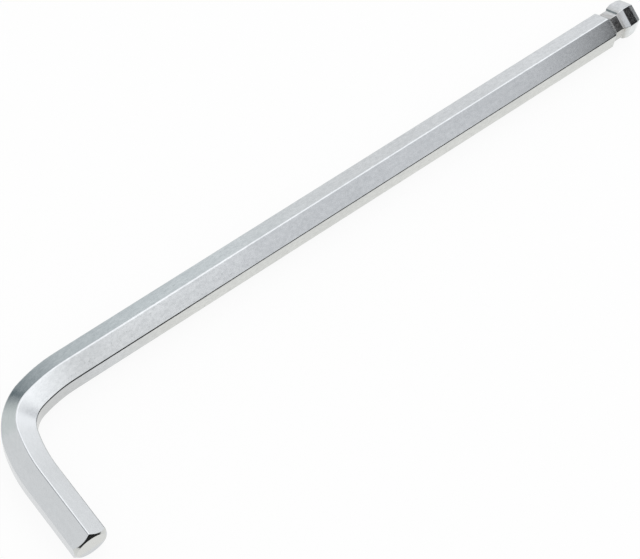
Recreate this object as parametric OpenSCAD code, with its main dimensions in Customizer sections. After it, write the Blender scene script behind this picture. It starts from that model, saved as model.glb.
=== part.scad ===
// Hex key with a ball end: one hexagonal bar, bent once, with its long end
// cut to a six-sided ball and its short end chamfered.
// The bar lies as it rests, on the lower edges of both arms. The long arm
// points along +X and the short arm along -Y. The origin is at the middle of
// the overall length and width, at table height.

/* [Bar] */
// Width of the hexagon across its flats, the key's nominal size
across_flats = 10; // [8:0.5:14]
// Radius on the six long edges of the bar
edge_radius = 0.6; // [0.1:0.05:1]

/* [Arms] */
// Long arm, from the outside of the short arm to the ball's tip
long_arm = 234; // [120:1:320]
// Short arm, from the outside of the long arm to its end face
short_arm = 50; // [40:1:90]

/* [Bend] */
// Radius of the tight middle of the bend, to the middle of the bar
tight_radius = 12.3; // [10:0.1:16]
// Radius of the gentle curves that lead each arm into it
gentle_radius = 45; // [30:0.5:60]
// How much larger the tight radius of the outer flat's own path is: bending
// draws that side in, so the bar is thinner in the middle of the bend
draw_in = 2.9; // [0.5:0.1:5]

/* [Short end] */
// How far the end face's round edge lies inside the flats
end_chamfer = 0.45; // [0.1:0.05:1.2]

/* [Ball end] */
// Depth of the neck below each flat
neck_depth = 0.95; // [0.4:0.05:1.4]
// Length from the shoulder to the back of the ball
neck_length = 4.4; // [3:0.1:7]
// Length of the slope from the bar's flats down to the neck
shoulder_run = 1.3; // [0.5:0.1:1.8]
// Height of the step from the neck up to the back of the ball
step_rise = 0.45; // [0.2:0.05:0.8]
// Length of that step
step_run = 0.5; // [0.2:0.1:1]
// How far the ball's widest place stays inside the bar's flats
ball_relief = 0.05; // [0:0.05:0.3]
// Length of the ball from its back to its tip
ball_length = 6.4; // [5:0.1:10]
// Length from the back of the ball to its widest place
swell_length = 1.7; // [1:0.1:2.5]
// Fall of the ball's flats from its widest place to its nose
front_fall = 0.1; // [0.05:0.05:0.3]
// Length of the nose, the gentle slope ahead of the flats
nose_length = 1.4; // [0.8:0.1:2]
// Fall of the flats along the nose
nose_fall = 0.4; // [0.2:0.05:0.9]
// Length of the steep slope round the tip's end face
tip_length = 0.7; // [0.4:0.1:1.2]
// Fall of the flats along that steep slope
tip_fall = 1.3; // [0.5:0.1:2.2]

/* [Hidden] */
$fn = 96;
// Ratio of a hexagon's width across corners to its width across flats
corner_ratio = 1 / cos(30);
half_flats = across_flats / 2;
half_corners = half_flats * corner_ratio;
// The rounded corners reach this much past the flats, so that both surfaces
// cross cleanly instead of only touching
corner_overlap = 0.004;
corner_r = edge_radius + corner_overlap;
// Distance from the bar's middle to the middle of each rounded corner
corner_middle = half_corners - edge_radius * corner_ratio;
// Height of the bar's middle above the table, on a rounded lower corner
axis_height = corner_middle + corner_r;
// Place where the two arms' middle lines would cross
corner_x = half_flats - long_arm / 2;
corner_y = short_arm / 2 - half_flats;
// Straight lengths, both measured from that crossing
tip_x = long_arm - half_flats;
end_y = short_arm - half_flats;
// A gentle curve turns by the small angle of a 7-24-25 triangle, 16.26
// degrees. Its cosine and sine are short numbers, so the curves meet exactly
lead = [0.96, 0.28];
// Distance from the crossing at which either arm starts to curve
bend_start = gentle_radius - (gentle_radius - tight_radius) * (lead.x - lead.y);
// The same tight radius for the outer flat's path, and the gentle radius that
// lets that path start with the bar's
outer_tight = tight_radius + draw_in;
outer_gentle = gentle_radius - draw_in * (lead.x - lead.y) / (1 - lead.x + lead.y);
// The outer flat's path runs this much outside the bar where the bend starts,
// and what it keeps reaches this far past the bar's inner side
outer_lead = 0.01;
inner_room = 1;
// The arcs of the bend are cut to wedges that reach this far, past the bar
wedge_reach = 100;
// Chamfer at the short end: a 45 degree cone down to the flat face
end_face_r = half_flats - end_chamfer;
// Places along the ball end, from the shoulder on
ball_end_length = neck_length + ball_length;
shoulder_x = tip_x - ball_end_length;
// Half widths across the flats of the neck, of the ball's widest place and of
// the front of its nose
neck_half = half_flats - neck_depth;
ball_half = half_flats - ball_relief;
nose_half = ball_half - front_fall - nose_fall;
// The shoulder's slope is drawn from this far behind the shoulder, outside the
// bar, so that it cuts the bar's rounded corners cleanly
shoulder_lead = 0.4;
// One side of the ball end's outline: distance from the shoulder, half width
BALL_SIDE = [
    [-shoulder_lead, half_flats + shoulder_lead * neck_depth / shoulder_run],
    [shoulder_run, neck_half],
    [neck_length - step_run, neck_half],
    [neck_length, neck_half + step_rise],
    [neck_length + swell_length, ball_half],
    [ball_end_length - tip_length - nose_length, ball_half - front_fall],
    [ball_end_length - tip_length, nose_half],
    [ball_end_length, nose_half - tip_fall],
];

// Point at a given turn and distance from the middle
function polar(a, r) = [r * cos(a), r * sin(a)];

// Cross-section of the bar: flats on the two sides, rounded corners at the
// top and bottom
module bar_section() {
    polygon([for (k = [0:5], side = [-30, 30])
        polar(90 + 60 * k, corner_middle) + polar(90 + 60 * k + side, edge_radius)]);
    for (k = [0:5])
        rotate(90 + 60 * k)
            translate([corner_middle, 0]) rotate(180) circle(r = corner_r);
}

// Everything from the bar's inner side out to its outer flat
module inside_outer_flat() {
    translate([-half_flats - inner_room, -half_corners])
        square([across_flats + inner_room + outer_lead, 2 * half_corners]);
}

// A straight length of bar along +X
module straight_bar(length) {
    rotate([90, 0, 90]) linear_extrude(length) bar_section();
}

// A wedge in plan between two directions from a centre, taller than the bar
module wedge(centre, from, to) {
    translate([centre.x, centre.y, -across_flats])
        linear_extrude(2 * across_flats)
            polygon([[0, 0], wedge_reach * from, wedge_reach * (from + to), wedge_reach * to]);
}

// A section swept round a centre, in the wedge between two directions
module arc(centre, radius, from, to) {
    intersection() {
        translate([centre.x, centre.y, 0]) rotate_extrude() translate([radius, 0]) children();
        wedge(centre, from, to);
    }
}

// A section swept round the whole bend, from the long arm to the short one:
// a gentle arc, the tight one, and a gentle one again, each tangent to the next
module round_bend(tight, gentle) {
    middle = gentle - (gentle - tight) * lead.x;
    arc([bend_start, -gentle], gentle, [0, 1], [-lead.y, lead.x]) children();
    arc([middle, -middle], tight, [-lead.y, lead.x], [-lead.x, lead.y]) children();
    arc([gentle, -bend_start], gentle, [-lead.x, lead.y], [-1, 0]) children();
}

// The bend: the bar's section round the bend, cut by the drawn-in outer flat
module bend() {
    intersection() {
        round_bend(tight_radius, gentle_radius) bar_section();
        round_bend(outer_tight, outer_gentle) inside_outer_flat();
    }
}

// What the ball end is cut to: a chain of six-sided tapers along +X
module ball_tapers() {
    rotate([0, 90, 0])
        for (k = [0:len(BALL_SIDE) - 2])
            translate([0, 0, BALL_SIDE[k].x])
                cylinder(h = BALL_SIDE[k + 1].x - BALL_SIDE[k].x, r1 = BALL_SIDE[k].y * corner_ratio,
                    r2 = BALL_SIDE[k + 1].y * corner_ratio, $fn = 6);
}

// The long arm from the bend to the ball's tip
module long_arm_bar() {
    plain = shoulder_x - shoulder_lead - bend_start;
    translate([bend_start, 0, 0]) straight_bar(plain);
    intersection() {
        translate([bend_start + plain, 0, 0]) straight_bar(ball_end_length + 2 * shoulder_lead);
        translate([shoulder_x, 0, 0]) ball_tapers();
    }
}

// The short arm from the bend to its chamfered end face
module short_arm_bar() {
    straight = end_y - bend_start;
    rotate([0, 0, -90])
        translate([bend_start, 0, 0])
            intersection() {
                straight_bar(straight);
                rotate([0, 90, 0])
                    cylinder(r1 = end_face_r + straight, r2 = end_face_r, h = straight);
            }
}

module hex_key() {
    color("#c4c8ca")
        translate([corner_x, corner_y, axis_height]) {
            bend();
            long_arm_bar();
            short_arm_bar();
        }
}

hex_key();
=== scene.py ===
import math

import bpy
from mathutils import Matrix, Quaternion, Vector


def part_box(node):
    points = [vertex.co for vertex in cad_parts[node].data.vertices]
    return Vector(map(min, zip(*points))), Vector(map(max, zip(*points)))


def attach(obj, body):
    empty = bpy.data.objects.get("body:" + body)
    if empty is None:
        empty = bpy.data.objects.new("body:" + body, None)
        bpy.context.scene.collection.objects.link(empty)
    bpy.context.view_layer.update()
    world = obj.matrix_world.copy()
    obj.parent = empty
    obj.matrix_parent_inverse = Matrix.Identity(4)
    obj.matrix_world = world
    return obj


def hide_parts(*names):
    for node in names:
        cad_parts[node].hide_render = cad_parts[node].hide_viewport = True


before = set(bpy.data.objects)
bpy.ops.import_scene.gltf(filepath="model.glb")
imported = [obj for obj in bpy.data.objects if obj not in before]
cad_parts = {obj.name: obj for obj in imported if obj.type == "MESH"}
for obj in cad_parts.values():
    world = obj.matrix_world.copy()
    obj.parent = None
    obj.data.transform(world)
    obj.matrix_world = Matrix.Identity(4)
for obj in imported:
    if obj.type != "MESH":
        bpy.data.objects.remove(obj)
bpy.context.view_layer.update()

# Sizes of the bar and its bend, in metres, as in the construction
MM = 0.001
# Angle from the middle of one of the hexagon's flats to the next corner
CORNER_ANGLE = math.radians(30)
HALF_FLATS = 5 * MM
HALF_CORNERS = HALF_FLATS / math.cos(CORNER_ANGLE)
EDGE_RADIUS = 0.6 * MM
LONG_ARM = 234 * MM
SHORT_ARM = 50 * MM
TIGHT_RADIUS = 12.3 * MM
GENTLE_RADIUS = 45 * MM
DRAW_IN = 2.9 * MM
END_CHAMFER = 0.45 * MM
# Two shapes follow the photograph more closely than the construction does. The
# bend's top and bottom ridges lie outwards by this share of the depth to which
# its outer flat is drawn in, and the chamfer runs back from the end face by
# this share of its width
RIDGE_SHARE = 0.45
CHAMFER_SLOPE = 0.81

# The bend turns gently by the lead angle at either end, and tightly between
QUARTER = math.radians(90)
LEAD = math.atan(7 / 24)
LEAD_COS = math.cos(LEAD)
LEAD_SIN = math.sin(LEAD)
TIGHT_TURN = QUARTER - 2 * LEAD
# Distances along either arm, from the crossing of the arms' middle lines, to the
# start of the bend and to the tight curve's centre
BEND_START = GENTLE_RADIUS - (GENTLE_RADIUS - TIGHT_RADIUS) * (LEAD_COS - LEAD_SIN)
MIDDLE = GENTLE_RADIUS - (GENTLE_RADIUS - TIGHT_RADIUS) * LEAD_COS
# Length along the bar from the middle of the bend to either end of it
HALF_BEND = TIGHT_RADIUS * TIGHT_TURN / 2 + GENTLE_RADIUS * LEAD
# Centres of the three curves, from the crossing
LONG_CENTRE = Vector((BEND_START, -GENTLE_RADIUS, 0))
TIGHT_CENTRE = Vector((MIDDLE, -MIDDLE, 0))
SHORT_CENTRE = Vector((GENTLE_RADIUS, -BEND_START, 0))
# The outer flat follows a path of its own, drawn in towards the inside
OUTER_TIGHT = TIGHT_RADIUS + DRAW_IN
OUTER_GENTLE = GENTLE_RADIUS - DRAW_IN * (LEAD_COS - LEAD_SIN) / (1 - LEAD_COS + LEAD_SIN)
OUTER_MIDDLE = OUTER_GENTLE - (OUTER_GENTLE - OUTER_TIGHT) * LEAD_COS

# The ball end, from the shoulder on: distance along the bar and half width
# across the flats
BALL_SIDE = [
    (0, HALF_FLATS),
    (1.3 * MM, 4.05 * MM),
    (3.9 * MM, 4.05 * MM),
    (4.4 * MM, 4.5 * MM),
    (6.1 * MM, 4.95 * MM),
    (8.7 * MM, 4.85 * MM),
    (10.1 * MM, 4.45 * MM),
    (10.8 * MM, 3.15 * MM),
]
# Places of the shoulder and of the short arm's end face, from the crossing
SHOULDER = LONG_ARM - HALF_FLATS - BALL_SIDE[-1][0]
END_FACE = SHORT_ARM - HALF_FLATS
# Length along the bar from the middle of the bend to the shoulder
BALL_START = HALF_BEND + SHOULDER - BEND_START

# The crossing itself, measured from the frame's ball end and short end
low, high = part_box("hex_key")
CROSSING = Vector((high.x - LONG_ARM + HALF_FLATS, low.y + END_FACE, (low.z + high.z) / 2))

# The bevel on the bar's long edges, and the shares of it on the ball's corners
# and on the rings between its slopes
LONG_EDGE_BEVEL = EDGE_RADIUS * math.tan(CORNER_ANGLE)
BALL_CORNER_SHARE = 0.35
BALL_RING_SHARE = 0.3
# Faces round each bevel, each gentle curve, the tight curve and the chamfer
BEVEL_STEPS = 5
GENTLE_STEPS = 8
TIGHT_STEPS = 26
CHAMFER_STEPS = 96
# Faces that meet at less than this angle are shaded smooth
SMOOTH_ANGLE = math.radians(28)
# Points less than this apart count as one
CLOSE = 0.01 * MM

# Colours, roughness and relief of the plating
PLATING_DARK = (0.52, 0.54, 0.555)
PLATING_LIGHT = (0.67, 0.69, 0.705)
PIT_COLOUR = (0.3, 0.31, 0.32)
# Partly the turned finish's colour, partly painted shade for the dark reflection on the neck and the
# ball's rear slope
TURNED_AND_SHADE_COLOUR = (0.37, 0.36, 0.345)
ROUGHNESS = (0.13, 0.24)
BUMP_STRENGTH = 0.4
BUMP_DEPTH = 0.02 * MM
# How close the finish's patterns are: cells in a metre along the bar, across
# it and up
DRAWN_LINES = (30, 5200, 5200)
BROAD_STREAKS = (12, 700, 700)
MOTTLING = (750, 1150, 1150)
CLOUDING = (45, 110, 110)
PITTING = (1500, 2100, 2100)
TURNED_RINGS = (1500, 260, 260)
# Nearly all values of a pattern lie in this range, evenly about its mean
PATTERN_RANGE = (0.3, 0.7)
PATTERN_MEAN = 0.5
# From none of an effect to all of it
FULL_RANGE = (0, 1)
# Share of the mottling in each mixture of two patterns
MOTTLE_IN_TONE = 0.65
MOTTLE_IN_POLISH = 0.5
MOTTLE_IN_RELIEF = 0.65
# Pits are the peaks of their pattern, in the places where the clouding is high
PIT_PEAKS = (0.58, 0.72)
PITTED_PLACES = (0.45, 0.6)
PIT_AMOUNT = (0, 0.35)
# The short arm is smoother. The mottling and the pits grow to their full
# strength between these lengths from the middle of the bend
MOTTLE_ZONE = (2 * MM, 22 * MM)
MOTTLE_AMOUNT = (0.35, 1)
# The darker colour on the neck and the foot of the ball, partly the turned finish
# and partly painted shade, comes over the first of these stretches from the
# shoulder, and goes over the second
TURNED_AND_SHADE_RISE = (0.2 * MM, 1.3 * MM)
TURNED_AND_SHADE_FALL = (4.3 * MM, 5.4 * MM)
TURNED_AND_SHADE_AMOUNT = (0.15, 0.85)

# Level of the even light, and how much of the floor shows as plain white
LIGHT_LEVEL = 0.8
FLOOR_WHITENESS = 0.9


def unbent(point):
    """Where a point of the key would lie if the bar were straight: how far along
    the bar from the middle of the bend, how far to the outer side, how far up."""
    place = point - CROSSING
    if place.x >= BEND_START:
        return Vector((HALF_BEND + place.x - BEND_START, place.y, place.z))
    if place.y <= -BEND_START:
        return Vector((-HALF_BEND + place.y + BEND_START, -place.x, place.z))
    spoke = (place - TIGHT_CENTRE).xy
    turn = math.atan2(-spoke.x, spoke.y)
    if LEAD < turn < QUARTER - LEAD:
        return Vector(((QUARTER / 2 - turn) * TIGHT_RADIUS, spoke.length - TIGHT_RADIUS, place.z))
    if turn <= LEAD:
        spoke = (place - LONG_CENTRE).xy
        turn = math.atan2(-spoke.x, spoke.y)
        return Vector((HALF_BEND - turn * GENTLE_RADIUS, spoke.length - GENTLE_RADIUS, place.z))
    spoke = (place - SHORT_CENTRE).xy
    turn = QUARTER - math.atan2(-spoke.x, spoke.y)
    return Vector((-HALF_BEND + turn * GENTLE_RADIUS, spoke.length - GENTLE_RADIUS, place.z))


def bar_middle(turn):
    """The middle of the bar where the bend has turned by this angle."""
    out = outwards(turn)
    if turn <= LEAD:
        return CROSSING + LONG_CENTRE + out * GENTLE_RADIUS
    if turn < QUARTER - LEAD:
        return CROSSING + TIGHT_CENTRE + out * TIGHT_RADIUS
    return CROSSING + SHORT_CENTRE + out * GENTLE_RADIUS


def outwards(turn):
    """The direction to the outside of the bend where it has turned by this angle."""
    return Vector((-math.sin(turn), math.cos(turn), 0))


def drawn_in(turn):
    """How far the outer flat is drawn in where the bend has turned by this angle."""
    turn = min(turn, QUARTER - turn)
    if turn < LEAD:
        return (GENTLE_RADIUS - OUTER_GENTLE) * (1 - math.cos(turn))
    return (OUTER_MIDDLE - MIDDLE) * (math.sin(turn) + math.cos(turn)) + TIGHT_RADIUS - OUTER_TIGHT


def pick(piece, kind, wanted):
    """Goes into edit mode with only the vertices or edges that pass the test selected."""
    bpy.ops.object.mode_set(mode="EDIT")
    bpy.ops.mesh.select_mode(type=kind)
    bpy.ops.mesh.select_all(action="DESELECT")
    bpy.ops.object.mode_set(mode="OBJECT")
    vertices = piece.data.vertices
    if kind == "VERT":
        for vertex in vertices:
            vertex.select = wanted(vertex.co)
    else:
        for edge in piece.data.edges:
            a, b = edge.vertices
            edge.select = wanted(vertices[a].co, vertices[b].co)
    bpy.ops.object.mode_set(mode="EDIT")


def add_ring(vertices, radius, middle):
    """A new upright ring that faces along the short arm, applied and all selected
    in edit mode."""
    bpy.ops.object.select_all(action="DESELECT")
    bpy.ops.mesh.primitive_circle_add(vertices=vertices, radius=radius, location=middle,
                                      rotation=(QUARTER, 0, 0))
    bpy.ops.object.transform_apply(location=True, rotation=True, scale=True)
    bpy.ops.object.mode_set(mode="EDIT")
    bpy.ops.mesh.select_all(action="SELECT")
    return bpy.context.object


def extrude(x, y):
    bpy.ops.mesh.extrude_edges_move(TRANSFORM_OT_translate={"value": (x, y, 0)})


def spin(centre, angle, steps):
    """Sweeps the selected ring to the right, round a centre given from the crossing."""
    bpy.ops.mesh.spin(steps=steps, angle=angle, center=CROSSING + centre, axis=(0, 0, 1))


def clean_mesh():
    """Joins doubled vertices and turns all faces outwards, in edit mode."""
    bpy.ops.mesh.select_all(action="SELECT")
    bpy.ops.mesh.remove_doubles(threshold=CLOSE)
    bpy.ops.mesh.normals_make_consistent(inside=False)


def sweep_bar():
    """The sharp-edged bar: a hexagon extruded up the short arm, spun round the
    bend, extruded down the long arm and drawn in and out to form the ball end."""
    start = CROSSING - Vector((0, END_FACE, 0))
    bar = add_ring(6, HALF_CORNERS, start)
    bar.name = "hex_key_bar"
    extrude(0, END_FACE - BEND_START)
    spin(SHORT_CENTRE, LEAD, GENTLE_STEPS)
    spin(TIGHT_CENTRE, TIGHT_TURN, TIGHT_STEPS)
    spin(LONG_CENTRE, LEAD, GENTLE_STEPS)
    extrude(SHOULDER - BEND_START, 0)
    for (place, half), (next_place, next_half) in zip(BALL_SIDE, BALL_SIDE[1:]):
        extrude(next_place - place, 0)
        ring_middle = CROSSING + Vector((SHOULDER + next_place, 0, 0))
        share = next_half / half
        bpy.ops.transform.resize(value=(1, share, share), center_override=ring_middle)
    bpy.ops.mesh.edge_face_add()
    pick(bar, "EDGE", lambda a, b: max(a.y, b.y) < start.y + CLOSE)
    bpy.ops.mesh.edge_face_add()
    clean_mesh()
    return bar


def draw_in_outer_flat(bar):
    """Slides the two outer corners of every ring of the bend inwards along the
    flats beside them, and the top and bottom corners a little outwards."""
    turns = [LEAD * k / GENTLE_STEPS for k in range(1, GENTLE_STEPS + 1)]
    turns += [LEAD + TIGHT_TURN * k / TIGHT_STEPS for k in range(1, TIGHT_STEPS)]
    turns += [QUARTER - turn for turn in turns[:GENTLE_STEPS]]
    edge_height = HALF_CORNERS / 2
    for turn in turns:
        out = outwards(turn)
        middle = bar_middle(turn)
        edge = middle + out * HALF_FLATS
        depth = drawn_in(turn)
        taller = 1 + depth * math.tan(CORNER_ANGLE) / edge_height

        def outer_corner(co):
            return abs(abs(co.z - edge.z) - edge_height) < CLOSE and (co.xy - edge.xy).length < CLOSE

        def ridge(co):
            return abs(co.z - middle.z) > HALF_FLATS and (co.xy - middle.xy).length < CLOSE

        pick(bar, "VERT", outer_corner)
        bpy.ops.transform.translate(value=-out * depth)
        bpy.ops.transform.resize(value=(1, 1, taller), center_override=middle)
        pick(bar, "VERT", ridge)
        bpy.ops.transform.translate(value=out * depth * RIDGE_SHARE)


def weigh_edges(bar):
    """Bevel weights: full on the bar's long edges, less on the ball end's."""
    def on_ball(a, b):
        return min(unbent(a).x, unbent(b).x) > BALL_START - CLOSE

    def lengthwise(a, b):
        return abs(unbent(a).x - unbent(b).x) > CLOSE

    pick(bar, "EDGE", lambda a, b: lengthwise(a, b) and not on_ball(a, b))
    bpy.ops.transform.edge_bevelweight(value=1)
    pick(bar, "EDGE", lambda a, b: lengthwise(a, b) and on_ball(a, b))
    bpy.ops.transform.edge_bevelweight(value=BALL_CORNER_SHARE)
    pick(bar, "EDGE", lambda a, b: not lengthwise(a, b) and on_ball(a, b))
    bpy.ops.transform.edge_bevelweight(value=BALL_RING_SHARE)
    bpy.ops.object.mode_set(mode="OBJECT")


def chamfer_cutter():
    """A ring round the short end whose inner side is a cone."""
    end = CROSSING - Vector((0, END_FACE, 0))
    spare = 1 * MM
    inner = HALF_FLATS - END_CHAMFER - spare
    outer = HALF_CORNERS + spare
    run = (outer - inner) * CHAMFER_SLOPE
    cutter = add_ring(CHAMFER_STEPS, inner, end - Vector((0, spare * CHAMFER_SLOPE, 0)))
    # Out to the outer side, up along the bar, and back down the cone
    for depth, size in ((0, outer / inner), (run, 1), (-run, inner / outer)):
        extrude(0, depth)
        bpy.ops.transform.resize(value=(size, 1, size), center_override=end)
    clean_mesh()
    bpy.ops.object.mode_set(mode="OBJECT")
    return cutter


def finish_edges(bar):
    """Rounds the weighted edges, cuts the end chamfer and sets the shading."""
    cutter = chamfer_cutter()
    bpy.ops.object.select_all(action="DESELECT")
    bar.select_set(True)
    bpy.context.view_layer.objects.active = bar
    rounding = bar.modifiers.new("rounding", "BEVEL")
    rounding.limit_method = "WEIGHT"
    rounding.width = LONG_EDGE_BEVEL
    rounding.segments = BEVEL_STEPS
    bpy.ops.object.modifier_apply(modifier=rounding.name)
    chamfer = bar.modifiers.new("chamfer", "BOOLEAN")
    chamfer.operation = "DIFFERENCE"
    chamfer.solver = "EXACT"
    chamfer.object = cutter
    bpy.ops.object.modifier_apply(modifier=chamfer.name)
    bpy.data.objects.remove(cutter)
    bpy.ops.object.shade_smooth_by_angle(angle=SMOOTH_ANGLE)
    flatness = bar.modifiers.new("flatness", "WEIGHTED_NORMAL")
    flatness.keep_sharp = True
    bpy.ops.object.modifier_apply(modifier=flatness.name)


def mark_unbent(bar):
    """Keeps each vertex's unbent place, which the finish follows round the bend."""
    marks = bar.data.attributes.new("unbent", "FLOAT_VECTOR", "POINT")
    for mark, vertex in zip(marks.data, bar.data.vertices):
        mark.vector = unbent(vertex.co)


def hex_key(finish):
    bar = sweep_bar()
    draw_in_outer_flat(bar)
    weigh_edges(bar)
    finish_edges(bar)
    mark_unbent(bar)
    bar.data.materials.clear()
    bar.data.materials.append(finish)
    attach(bar, "root")
    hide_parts("hex_key")


def new_material(name):
    material = bpy.data.materials.new(name)
    material.use_nodes = True
    return material, material.node_tree.nodes, material.node_tree.links


def noise(tree, name, source, cells, detail):
    """A noise texture with this many cells in a metre along the bar, across it
    and up."""
    mapping = tree.nodes.new("ShaderNodeMapping")
    mapping.inputs["Scale"].default_value = cells
    tree.links.new(source, mapping.inputs["Vector"])
    texture = tree.nodes.new("ShaderNodeTexNoise")
    texture.name = name
    texture.inputs["Scale"].default_value = 1
    texture.inputs["Detail"].default_value = detail
    tree.links.new(mapping.outputs["Vector"], texture.inputs["Vector"])
    return texture.outputs["Fac"]


def remap(tree, value, old_range, new_range):
    """The value, stretched from one range to another and held within it."""
    node = tree.nodes.new("ShaderNodeMapRange")
    node.inputs["From Min"].default_value = old_range[0]
    node.inputs["From Max"].default_value = old_range[1]
    node.inputs["To Min"].default_value = new_range[0]
    node.inputs["To Max"].default_value = new_range[1]
    tree.links.new(value, node.inputs["Value"])
    return node.outputs["Result"]


def math_node(tree, operation, a, b):
    node = tree.nodes.new("ShaderNodeMath")
    node.operation = operation
    for socket, value in zip(node.inputs, (a, b)):
        if isinstance(value, (int, float)):
            socket.default_value = value
        else:
            tree.links.new(value, socket)
    return node.outputs["Value"]


def product(tree, a, b):
    return math_node(tree, "MULTIPLY", a, b)


def blend(tree, a, b, share):
    """Two patterns mixed, with this share of the first."""
    return math_node(tree, "ADD", product(tree, a, share), product(tree, b, 1 - share))


def tint(tree, amount, colour, second):
    """The colour, turned towards a second one by the amount."""
    mix = tree.nodes.new("ShaderNodeMix")
    mix.data_type = "RGBA"
    # The node also has sockets for numbers and vectors, under the same names
    factor, first_colour, second_colour = (mix.inputs[k] for k in (0, 6, 7))
    tree.links.new(amount, factor)
    tree.links.new(colour, first_colour)
    second_colour.default_value = (*second, 1)
    return mix.outputs[2]


def turned_and_shade_zone(tree, length):
    """1 on the turned neck and at the foot of the ball, where the turned finish and painted shade
    go, and 0 beyond.
    """
    rise = remap(tree, length, [BALL_START + edge for edge in TURNED_AND_SHADE_RISE], FULL_RANGE)
    fall = remap(tree, length, [BALL_START + edge for edge in TURNED_AND_SHADE_FALL], (1, 0))
    return product(tree, rise, fall)


def plating_colour(tree, along_bar, length, mottle):
    """Grey with a soft mottling and a few darker pits, both weaker on the short
    arm, and a darker colour on the neck and the ball's foot that is partly the
    turned finish and partly painted shade."""
    cloud = noise(tree, "clouding", along_bar, CLOUDING, detail=3)
    pits = noise(tree, "pits", along_bar, PITTING, detail=2)
    rings = noise(tree, "turned rings", along_bar, TURNED_RINGS, detail=3)
    mottled = remap(tree, length, MOTTLE_ZONE, MOTTLE_AMOUNT)
    mixed = blend(tree, mottle, cloud, MOTTLE_IN_TONE)
    uneven = product(tree, math_node(tree, "SUBTRACT", mixed, PATTERN_MEAN), mottled)
    tone = tree.nodes.new("ShaderNodeValToRGB")
    for stop, position, colour in zip(tone.color_ramp.elements, PATTERN_RANGE,
                                      (PLATING_DARK, PLATING_LIGHT)):
        stop.position = position
        stop.color = (*colour, 1)
    tree.links.new(math_node(tree, "ADD", uneven, PATTERN_MEAN), tone.inputs["Fac"])
    peaks = remap(tree, pits, PIT_PEAKS, PIT_AMOUNT)
    places = remap(tree, cloud, PITTED_PLACES, FULL_RANGE)
    pitted = product(tree, product(tree, peaks, places), mottled)
    plating = tint(tree, pitted, tone.outputs["Color"], PIT_COLOUR)
    ringed = remap(tree, rings, PATTERN_RANGE, TURNED_AND_SHADE_AMOUNT)
    # The darker tint on the neck and the ball's foot is partly the turned finish and partly painted
    # shade
    turned = product(tree, turned_and_shade_zone(tree, length), ringed)
    return tint(tree, turned, plating, TURNED_AND_SHADE_COLOUR)


def plated_steel():
    """Satin bright plating over drawn steel: fine lines along the bar, broad
    streaks of polish, and the plating's own colour, with painted shade on the
    neck and the foot of the ball."""
    material, nodes, links = new_material("plated_steel")
    tree = material.node_tree
    steel = nodes["Principled BSDF"]
    steel.inputs["Metallic"].default_value = 1
    place = nodes.new("ShaderNodeAttribute")
    place.attribute_name = "unbent"
    along_bar = place.outputs["Vector"]
    parts = nodes.new("ShaderNodeSeparateXYZ")
    links.new(along_bar, parts.inputs["Vector"])
    lines = noise(tree, "drawn lines", along_bar, DRAWN_LINES, detail=3)
    streaks = noise(tree, "broad streaks", along_bar, BROAD_STREAKS, detail=2)
    mottle = noise(tree, "mottling", along_bar, MOTTLING, detail=5)
    colour = plating_colour(tree, along_bar, parts.outputs["X"], mottle)
    links.new(colour, steel.inputs["Base Color"])
    polish = blend(tree, mottle, streaks, MOTTLE_IN_POLISH)
    links.new(remap(tree, polish, PATTERN_RANGE, ROUGHNESS), steel.inputs["Roughness"])
    bump = nodes.new("ShaderNodeBump")
    bump.inputs["Strength"].default_value = BUMP_STRENGTH
    bump.inputs["Distance"].default_value = BUMP_DEPTH
    links.new(blend(tree, mottle, lines, MOTTLE_IN_RELIEF), bump.inputs["Height"])
    links.new(bump.outputs["Normal"], steel.inputs["Normal"])
    return material


def background_rays(tree):
    """1 for rays that show the background: straight from the camera, or by way
    of metal or glass."""
    path = tree.nodes.new("ShaderNodeLightPath")
    seen = math_node(tree, "MAXIMUM", path.outputs["Is Camera Ray"], path.outputs["Is Glossy Ray"])
    return math_node(tree, "MAXIMUM", seen, path.outputs["Is Transmission Ray"])


def studio_world():
    """Even light from all round, seen as plain white."""
    world = bpy.data.worlds.new("studio")
    world.use_nodes = True
    tree = world.node_tree
    tree.nodes.clear()
    mix = tree.nodes.new("ShaderNodeMixShader")
    for socket, strength in ((mix.inputs[1], LIGHT_LEVEL), (mix.inputs[2], 1)):
        light = tree.nodes.new("ShaderNodeBackground")
        light.inputs["Color"].default_value = (1, 1, 1, 1)
        light.inputs["Strength"].default_value = strength
        tree.links.new(light.outputs["Background"], socket)
    output = tree.nodes.new("ShaderNodeOutputWorld")
    tree.links.new(background_rays(tree), mix.inputs["Fac"])
    tree.links.new(mix.outputs["Shader"], output.inputs["Surface"])
    bpy.context.scene.world = world


def plane(name, middle, facing, width, height):
    """A flat panel with its front towards a direction and its width level."""
    bpy.ops.object.select_all(action="DESELECT")
    bpy.ops.mesh.primitive_plane_add(size=1, location=middle)
    panel = bpy.context.object
    panel.name = name
    panel.scale = (width, height, 1)
    panel.rotation_mode = "QUATERNION"
    panel.rotation_quaternion = Vector(facing).to_track_quat("Z", "Y")
    return panel


def studio_floor():
    """White paper. Where it shows as the background it is mostly plain white,
    with a soft shadow left."""
    material, nodes, links = new_material("studio_floor")
    tree = material.node_tree
    paper = nodes["Principled BSDF"]
    paper.inputs["Base Color"].default_value = (0.95, 0.95, 0.95, 1)
    paper.inputs["Roughness"].default_value = 0.9
    paper.inputs["Specular IOR Level"].default_value = 0
    white = nodes.new("ShaderNodeEmission")
    mix = nodes.new("ShaderNodeMixShader")
    links.new(product(tree, background_rays(tree), FLOOR_WHITENESS), mix.inputs["Fac"])
    links.new(paper.outputs["BSDF"], mix.inputs[1])
    links.new(white.outputs["Emission"], mix.inputs[2])
    links.new(mix.outputs["Shader"], nodes["Material Output"].inputs["Surface"])
    side = 4
    floor = plane("studio_floor", (0, 0, 0), (0, 0, 1), side, side)
    floor.data.materials.append(material)


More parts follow.
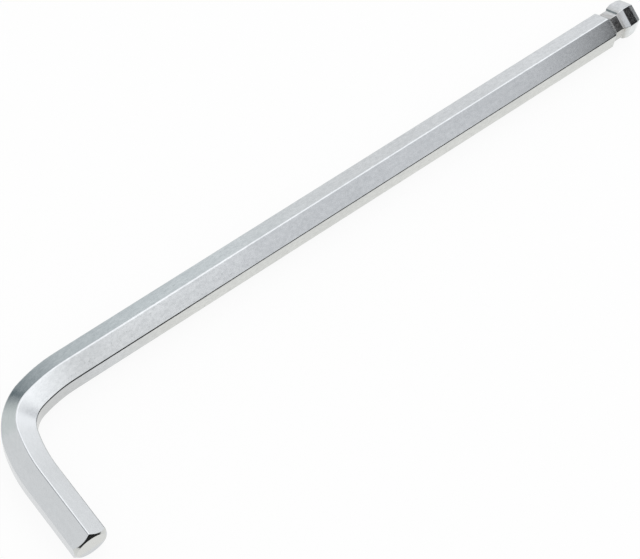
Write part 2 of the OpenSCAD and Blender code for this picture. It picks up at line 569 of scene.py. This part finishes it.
def card_paper(name, colour, fades, power):
    """Paper of one colour, where 1 is white. It fades in over a share of the card
    from each side: the start and end of its width, then of its height. A power
    above 1 makes it fade in late."""
    material, nodes, links = new_material(name)
    tree = material.node_tree
    nodes.clear()
    coordinates = nodes.new("ShaderNodeTexCoord")
    place = nodes.new("ShaderNodeSeparateXYZ")
    links.new(coordinates.outputs["Object"], place.inputs["Vector"])
    clear = nodes.new("ShaderNodeBsdfTransparent")
    glow = nodes.new("ShaderNodeEmission")
    glow.inputs["Color"].default_value = (*colour, 1)
    mix = nodes.new("ShaderNodeMixShader")
    mix.inputs["Fac"].default_value = 1
    links.new(clear.outputs["BSDF"], mix.inputs[1])
    links.new(glow.outputs["Emission"], mix.inputs[2])
    cover = 1
    # In the card's own coordinates each of its sides lies half a unit out
    for axis, side, fade in zip("XXYY", (-0.5, 0.5, -0.5, 0.5), fades):
        if fade:
            ramp = remap(tree, place.outputs[axis], (side, side * (1 - 2 * fade)), FULL_RANGE)
            cover = product(tree, cover, math_node(tree, "POWER", ramp, power))
    if any(fades):
        links.new(cover, mix.inputs["Fac"])
    output = nodes.new("ShaderNodeOutputMaterial")
    links.new(mix.outputs["Shader"], output.inputs["Surface"])
    return material


def card(name, colour, middle, facing, size, fades=(0, 0, 0, 0), power=1):
    """A studio card that shows only as a reflection in the metal."""
    panel = plane(name, middle, facing, *size)
    panel.data.materials.append(card_paper(name, colour, fades, power))
    panel.visible_camera = False
    panel.visible_diffuse = False
    panel.visible_shadow = False


def softbox(name, middle, aim, width, height, brightness):
    """A soft lamp. Its brightness is the light that its face gives off, where 1
    looks white."""
    lamp = bpy.data.lights.new(name, "AREA")
    lamp.shape = "RECTANGLE"
    lamp.size = width
    lamp.size_y = height
    lamp.energy = brightness * math.pi * width * height
    holder = bpy.data.objects.new(name, lamp)
    bpy.context.scene.collection.objects.link(holder)
    holder.visible_glossy = False
    holder.location = middle
    holder.rotation_mode = "QUATERNION"
    holder.rotation_quaternion = (Vector(aim) - Vector(middle)).to_track_quat("-Z", "Y")


def studio_camera():
    """The photograph's view, from high above and beyond the short arm's end."""
    target = Vector((-16.7, 2.2, 5.7)) * MM
    azimuth = math.radians(-135.28)
    elevation = math.radians(60.25)
    roll = math.radians(8.28)
    distance = 543.2 * MM
    level = math.cos(elevation)
    away = Vector((math.cos(azimuth) * level, math.sin(azimuth) * level, math.sin(elevation)))
    camera = bpy.data.cameras.new("camera")
    camera.lens = 110.56
    camera.sensor_width = 36
    holder = bpy.data.objects.new("camera", camera)
    bpy.context.scene.collection.objects.link(holder)
    holder.location = target + away * distance
    holder.rotation_mode = "QUATERNION"
    holder.rotation_quaternion = (-away).to_track_quat("-Z", "Y") @ Quaternion((0, 0, 1), roll)
    bpy.context.scene.camera = holder


def studio_cards():
    """What the metal reflects. Each card is given its colour, its middle, the way
    it faces, and its width and height in metres."""
    down = (0, 0, -1)
    forward = (0, 1, 0)
    back = (0, -1, 0)
    black = (0.02, 0.02, 0.02)
    warm = (1.02, 1.005, 0.955)

    # Bright panels for the inner upper flats of the bend and the short arm
    card("overhead_panel", (1.5, 1.5, 1.52), (0.575, 0.175, 0.385), down, (1.35, 0.73),
         fades=(0.7, 0.03, 0.09, 0.1))
    card("bend_panel", (2, 2, 2.02), (0.035, -0.0775, 0.2), down, (0.13, 0.065),
         fades=(0.55, 0.15, 0.3, 0.1))
    card("near_panel", (1.6, 1.6, 1.61), (-0.0918, 0.001, 0.03), down, (0.02, 0.026),
         fades=(0.5, 0.1, 0.1, 0.1))

    # Cards that darken the long arm towards the ball, its middle, and the neck
    card("ball_card", (0.04, 0.045, 0.05), (0.31, -0.09, 0.14), down, (0.38, 0.13),
         fades=(0, 0.26, 0, 0), power=3)
    card("arm_card", (0.9, 0.905, 0.925), (0.09, -0.09, 0.1405), down, (0.22, 0.13),
         fades=(0, 0.25, 0, 0))
    card("neck_card", black, (0.1685, -0.018, 0.05), down, (0.065, 0.034))

    # Black cards that draw the dark lines along the inner edges, and the chamfer
    card("front_card", black, (0, -0.13, 0.06), forward, (1.2, 0.12))
    card("bend_card", black, (-0.14, -0.13, 0.1475), forward, (0.26, 0.055),
         fades=(0.15, 0, 0, 0.2))
    card("floor_card", black, (0, -0.0875, 0.001), down, (1.2, 0.085))
    card("edge_card", black, (-0.055, -0.0215, 0.0012), down, (0.07, 0.047),
         fades=(0.4, 0, 0, 0))

    # Cards just above the floor for the inner side, the end face and the ball
    card("bounce_card", warm, (0.03, -0.014, 0.0008), down, (0.22, 0.057),
         fades=(0, 0.1, 0, 0))
    card("bend_bounce_card", (0.88, 0.87, 0.85), (-0.092, 0.006, 0.001), down, (0.036, 0.019),
         fades=(0.5, 0, 0, 0))
    card("end_bounce_card", warm, (-0.12, -0.045, 0.0008), down, (0.06, 0.038))
    card("ball_bounce_card", (1.17, 1.17, 1.15), (0.123, 0.008, 0.001), down, (0.024, 0.022),
         fades=(0, 0.2, 0, 0))

    # Cards beyond the key for the outer upper flats
    card("back_card", (0.05, 0.1, 0.12), (-0.069, 0.45, 0.12), back, (0.502, 0.24),
         fades=(0.38, 0.64, 0, 0.46), power=2)
    card("side_back_card", (0.86, 0.9, 0.88), (-0.4, 0.46, 0.2), back, (0.5, 0.36),
         fades=(0.15, 0.1, 0, 0.3))
    card("cool_card", (0.945, 0.995, 1.005), (0.02, 0.47, 0.1), back, (0.32, 0.2),
         fades=(0.2, 0.25, 0, 0.2))
    card("back_panel", (1.07, 1.07, 1.08), (0.5, 0.46, 0.08), back, (0.64, 0.16),
         fades=(0.3, 0, 0, 0.2))

    # The grey line beside the short arm's top ridge
    card("ridge_card", (0.45, 0.46, 0.47), (-0.265, 0.16, 0.49), down, (0.37, 0.22),
         fades=(0.1, 0.1, 0.1, 0.1))


bpy.context.scene.view_settings.view_transform = "Standard"
studio_camera()
hex_key(plated_steel())
studio_world()
studio_floor()
softbox("lamp", middle=(0.3, 0.15, 0.9), aim=(0, 0, 0), width=0.8, height=0.8, brightness=1)
studio_cards()
